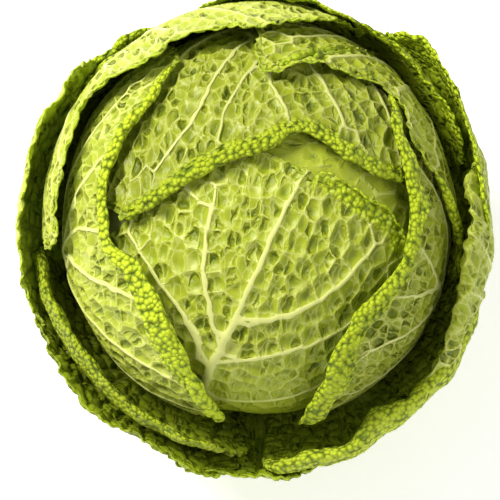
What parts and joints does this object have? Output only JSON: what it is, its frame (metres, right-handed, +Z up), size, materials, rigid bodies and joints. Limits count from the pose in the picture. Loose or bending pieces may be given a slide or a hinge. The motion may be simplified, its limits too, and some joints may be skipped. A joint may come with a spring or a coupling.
{
  "type": "savoy cabbage",
  "caption": "Whole savoy cabbage standing on its cut stem: a round head of crinkled, pale-veined leaves in looser green outer wrappers.",
  "frame": {"origin": "centre of the stem's flat cut face, on the surface the cabbage stands on", "axes": "+Z up the axis of the head from the stem to the crown; +Y towards the crown leaf's base at the back; -Y towards the front leaf's base"},
  "size_m": [0.2086, 0.2249, 0.1651],
  "materials": {
    "head_leaf": "waxy crinkled yellow-green leaf with pale raised veins and a brighter bubbled margin",
    "pale_leaf": "waxy crinkled pale green leaf with cream veins",
    "outer_leaf": "tougher darker green blistered leaf, grey-green and ribbed on its underside",
    "heart_leaf": "pale packed inner leaves, unseen",
    "stem_flesh": "moist cream stem flesh, fibrous on its cut face"
  },
  "bodies": {
    "root": {"stem": "stem_flesh", "heart": "heart_leaf", "tucked_leaf": "head_leaf", "front_leaf": "head_leaf", "crown_leaf": "head_leaf", "left_leaf": "head_leaf", "right_leaf": "head_leaf", "upper_right_leaf": "head_leaf", "top_left_leaf": "pale_leaf", "top_right_leaf": "head_leaf", "left_wrapper": "outer_leaf", "upper_right_wrapper": "outer_leaf", "back_wrapper": "outer_leaf", "far_left_wrapper": "outer_leaf", "lower_right_wrapper": "outer_leaf", "back_right_wrapper": "outer_leaf", "lower_left_wrapper": "outer_leaf", "far_right_wrapper": "outer_leaf", "back_left_wrapper": "outer_leaf", "bottom_wrapper": "outer_leaf"}
  },
  "joints": []
}
